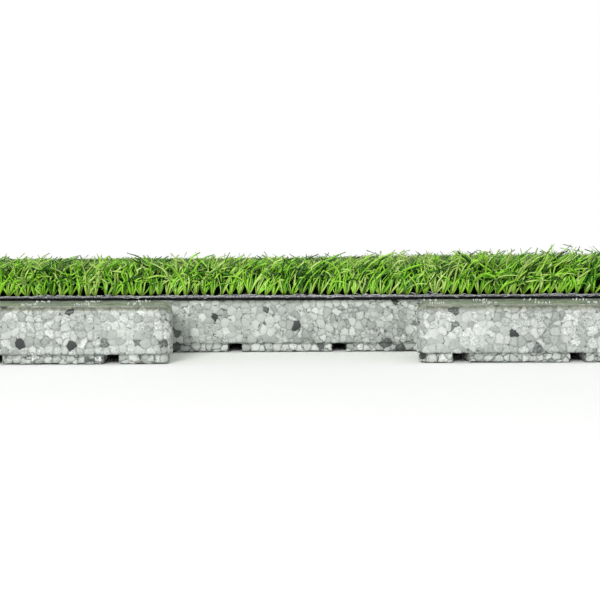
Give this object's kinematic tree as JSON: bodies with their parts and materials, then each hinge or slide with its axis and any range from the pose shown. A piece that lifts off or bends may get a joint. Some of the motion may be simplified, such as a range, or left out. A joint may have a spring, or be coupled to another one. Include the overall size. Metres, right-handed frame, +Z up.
{
  "type": "golf hitting mat",
  "caption": "Golf hitting mat: a rectangular sheet of tufted turf laid loose on interlocking bead-foam panels, with dovetail tabs and notches along its edges.",
  "frame": {"origin": "on the floor under the middle of the mat", "axes": "+Z up, +X along the long edge, the front edge faces -Y"},
  "size_m": [1.4536, 0.9856, 0.0472],
  "materials": {
    "bead_foam": "moulded expanded-polypropylene beads, pale grey with a few dark ones",
    "turf_yarn": "tufted green yarn, satin blades",
    "woven_backing": "woven grey tape with a frayed cut edge",
    "backing_coat": "matt black latex coat"
  },
  "bodies": {
    "base": {"panel_front_left": "bead_foam", "panel_front_middle": "bead_foam", "panel_front_right": "bead_foam", "panel_rear_left": "bead_foam", "panel_rear_middle": "bead_foam", "panel_rear_right": "bead_foam"},
    "turf": {"turf_pile": "turf_yarn", "turf_backing": "woven_backing", "turf_coat": "backing_coat"}
  },
  "joints": [
    {"name": "turf_lift", "type": "slide", "parent": "base", "child": "turf", "axis": [0, 0, 1], "range_m": [0, 0.12]}
  ]
}
